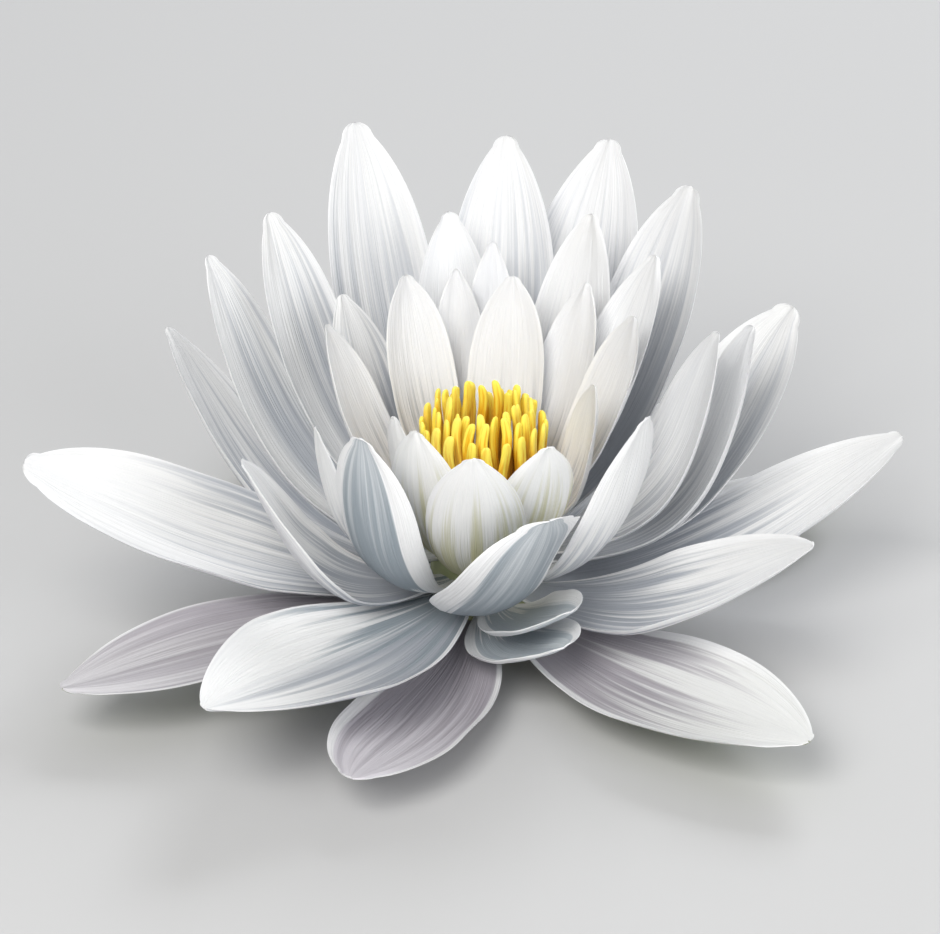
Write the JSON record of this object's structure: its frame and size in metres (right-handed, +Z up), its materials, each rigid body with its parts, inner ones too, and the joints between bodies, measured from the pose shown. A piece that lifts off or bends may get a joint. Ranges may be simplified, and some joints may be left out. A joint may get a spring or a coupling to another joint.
{
  "type": "water lily flower",
  "caption": "Open white water lily bloom, picked, with pointed petals in layers, green-backed sepals, a golden tuft of stamens round a dished stigma, and a short stalk cut flat to rest on.",
  "frame": {"origin": "centre of the flat cut face of the stalk, on the surface that the bloom rests on", "axes": "+Z up through the middle of the bloom, +X to the right in its usual view, +Y away from the viewer"},
  "size_m": [0.1398, 0.1281, 0.0665],
  "materials": {
    "petal": "waxy satin petal",
    "sepal": "waxy satin sepal, white above and green beneath",
    "stalk": "smooth green stalk",
    "stamen": "matt with pollen",
    "stigma": "moist satin"
  },
  "bodies": {
    "root": {"stalk_and_receptacle": "stalk", "stigma_disc": "stigma", "stamens": "stamen", "sepal_1": "sepal", "sepal_2": "sepal", "sepal_3": "sepal", "sepal_4": "sepal", "petal_outer_1": "petal", "petal_outer_2": "petal", "petal_outer_3": "petal", "petal_outer_4": "petal", "petal_outer_5": "petal", "petal_outer_6": "petal", "petal_outer_7": "petal", "petal_outer_8": "petal", "petal_outer_9": "petal", "petal_second_1": "petal", "petal_second_2": "petal", "petal_second_3": "petal", "petal_second_4": "petal", "petal_second_5": "petal", "petal_second_6": "petal", "petal_second_7": "petal", "petal_second_8": "petal", "petal_second_9": "petal", "petal_second_10": "petal", "petal_third_1": "petal", "petal_third_2": "petal", "petal_third_3": "petal", "petal_third_4": "petal", "petal_third_5": "petal", "petal_third_6": "petal", "petal_third_7": "petal", "petal_third_8": "petal", "petal_third_9": "petal", "petal_inner_1": "petal", "petal_inner_2": "petal", "petal_inner_3": "petal", "petal_inner_4": "petal", "petal_inner_5": "petal", "petal_inner_6": "petal", "petal_inner_7": "petal", "petal_inner_8": "petal", "petal_inner_9": "petal", "petal_inner_10": "petal", "petal_inner_11": "petal", "petal_inner_12": "petal", "petal_inner_13": "petal"}
  },
  "joints": []
}
